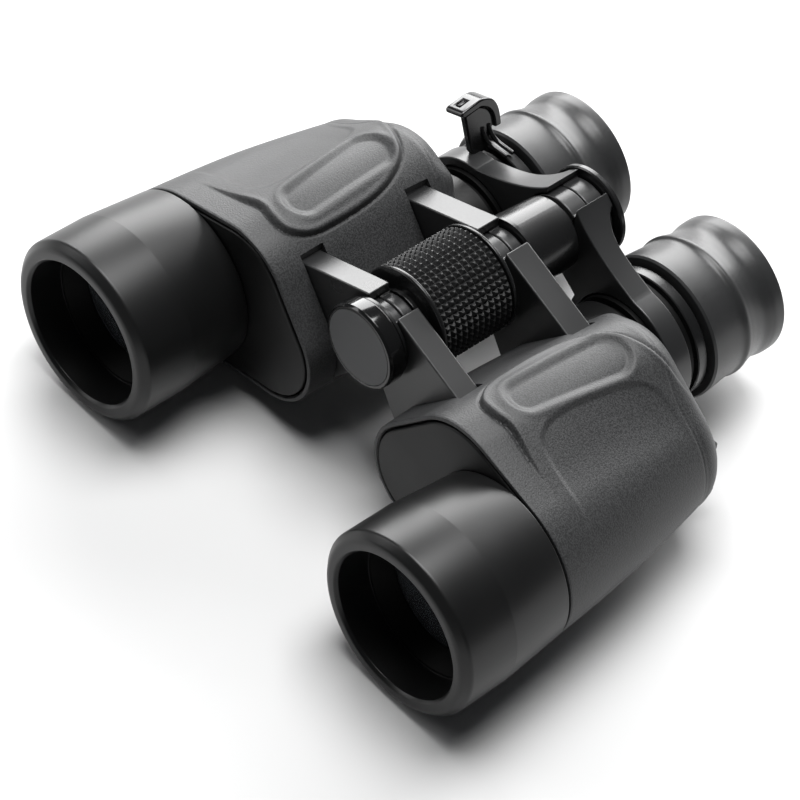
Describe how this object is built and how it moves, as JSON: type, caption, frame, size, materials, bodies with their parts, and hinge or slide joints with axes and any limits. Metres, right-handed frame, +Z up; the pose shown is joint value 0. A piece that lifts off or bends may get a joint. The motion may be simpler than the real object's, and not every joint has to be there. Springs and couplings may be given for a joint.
{
  "type": "zoom binoculars",
  "caption": "Porro prism zoom binoculars on a centre hinge, with rubber armour, a knurled focus wheel, a zoom lever, a dioptre ring, eyecups and a capped tripod socket.",
  "frame": {"origin": "on the surface that the binoculars stand on, under the middle of their length and width", "axes": "-Y where the objectives look, +Y towards the eyes, +X the user's left barrel, +Z up"},
  "size_m": [0.1802, 0.1584, 0.066],
  "materials": {
    "armour_rubber": "satin, fine granular moulded texture",
    "tube_black": "smooth satin",
    "arm_paint": "fine satin paint",
    "cover_black": "matte",
    "bore_black": "matt black anodised",
    "ring_black": "satin black anodised",
    "cap_gloss": "gloss",
    "cap_face": "matte, very fine grain",
    "grip_rubber": "knurled",
    "eyecup_rubber": "smooth satin",
    "lever_gloss": "gloss",
    "loop_plastic": "satin",
    "coated_glass": "coated",
    "prism_glass": "polished",
    "spring_steel": "plain",
    "steel": "blackened",
    "brass": "turned"
  },
  "bodies": {
    "left_half": {"left_objective_tube": "tube_black", "left_retaining_ring": "bore_black", "left_crown_lens": "coated_glass", "left_flint_lens": "coated_glass", "left_body_shell": "arm_paint", "left_front_cover": "cover_black", "left_rear_cover": "cover_black", "left_armour": "armour_rubber", "left_strap_loop": "loop_plastic", "left_rear_prism": "prism_glass", "left_front_prism": "prism_glass", "left_rear_prism_clip": "spring_steel", "left_front_prism_clip": "spring_steel", "left_prism_shelf": "bore_black", "hinge_axle": "steel", "tripod_bush": "brass", "hinge_washer": "ring_black", "centre_tube": "ring_black"},
    "right_half": {"right_objective_tube": "tube_black", "right_retaining_ring": "bore_black", "right_crown_lens": "coated_glass", "right_flint_lens": "coated_glass", "right_body_shell": "arm_paint", "right_front_cover": "cover_black", "right_rear_cover": "cover_black", "right_armour": "armour_rubber", "right_strap_loop": "loop_plastic", "right_rear_prism": "prism_glass", "right_front_prism": "prism_glass", "right_rear_prism_clip": "spring_steel", "right_front_prism_clip": "spring_steel", "right_prism_shelf": "bore_black"},
    "tripod_cap": {"tripod_cap": "cap_gloss", "tripod_cap_plate": "cap_face"},
    "focus_wheel": {"focus_wheel_core": "ring_black", "focus_wheel_grip": "grip_rubber", "focus_nut": "brass"},
    "bridge": {"left_ocular_arm": "arm_paint", "bridge_shaft": "ring_black", "bridge_disc": "ring_black", "bridge_screw": "steel"},
    "left_eyepiece": {"left_eyepiece_barrel": "bore_black", "left_eye_lens": "coated_glass", "left_eyecup": "eyecup_rubber"},
    "left_zoom_group": {"left_zoom_cell": "bore_black", "left_zoom_lens": "coated_glass"},
    "dioptre_ring": {"dioptre_ring": "ring_black"},
    "right_ocular": {"right_ocular_arm": "arm_paint", "right_eyepiece_barrel": "bore_black", "right_eye_lens": "coated_glass", "right_eyecup": "eyecup_rubber"},
    "right_zoom_group": {"right_zoom_cell": "bore_black", "right_zoom_lens": "coated_glass"},
    "zoom_ring": {"zoom_ring": "ring_black", "zoom_lever": "lever_gloss"}
  },
  "joints": [
    {"name": "ipd_hinge", "type": "hinge", "parent": "left_half", "child": "right_half", "pos_m": [0, 0, 0.0503], "axis": [0, 1, 0], "range_deg": [-11.4, 35.4]},
    {"name": "focus_slide", "type": "slide", "parent": "left_half", "child": "bridge", "axis": [0, 1, 0], "range_m": [-0.001, 0.009]},
    {"name": "right_ocular_slide", "type": "slide", "parent": "right_half", "child": "right_ocular", "axis": [0, 1, 0], "range_m": [-0.001, 0.009]},
    {"name": "focus_wheel_turn", "type": "hinge", "parent": "left_half", "child": "focus_wheel", "pos_m": [0, 0, 0.0503], "axis": [0, 1, 0], "range_deg": [-40.2, 360.2]},
    {"name": "dioptre_travel", "type": "slide", "parent": "bridge", "child": "left_eyepiece", "axis": [0, 1, 0], "range_m": [-0.0007, 0.0007]},
    {"name": "dioptre_ring_turn", "type": "hinge", "parent": "bridge", "child": "dioptre_ring", "pos_m": [0.0304, 0, 0.0272], "axis": [0, 1, 0], "range_deg": [-45.5, 45.5]},
    {"name": "zoom_lever_turn", "type": "hinge", "parent": "right_ocular", "child": "zoom_ring", "pos_m": [-0.0304, 0, 0.0272], "axis": [0, -1, 0], "range_deg": [-12.1, 55.1]},
    {"name": "right_zoom_slide", "type": "slide", "parent": "right_ocular", "child": "right_zoom_group", "axis": [0, 1, 0], "range_m": [-0.00143, 0.00656]},
    {"name": "left_zoom_slide", "type": "slide", "parent": "left_eyepiece", "child": "left_zoom_group", "axis": [0, 1, 0], "range_m": [-0.00145, 0.00658]},
    {"name": "tripod_cap_off", "type": "slide", "parent": "left_half", "child": "tripod_cap", "axis": [0, -1, 0], "range_m": [0, 0.03]}
  ],
  "couplings": [
    {"joint": "right_ocular_slide", "follows": "focus_slide", "ratio": 1},
    {"joint": "focus_wheel_turn", "follows": "focus_slide", "rad_per_m": 698.13},
    {"joint": "dioptre_ring_turn", "follows": "dioptre_travel", "rad_per_m": 1122},
    {"joint": "zoom_lever_turn", "follows": "right_zoom_slide", "rad_per_m": 146.17},
    {"joint": "left_zoom_slide", "follows": "right_zoom_slide", "ratio": 1}
  ]
}
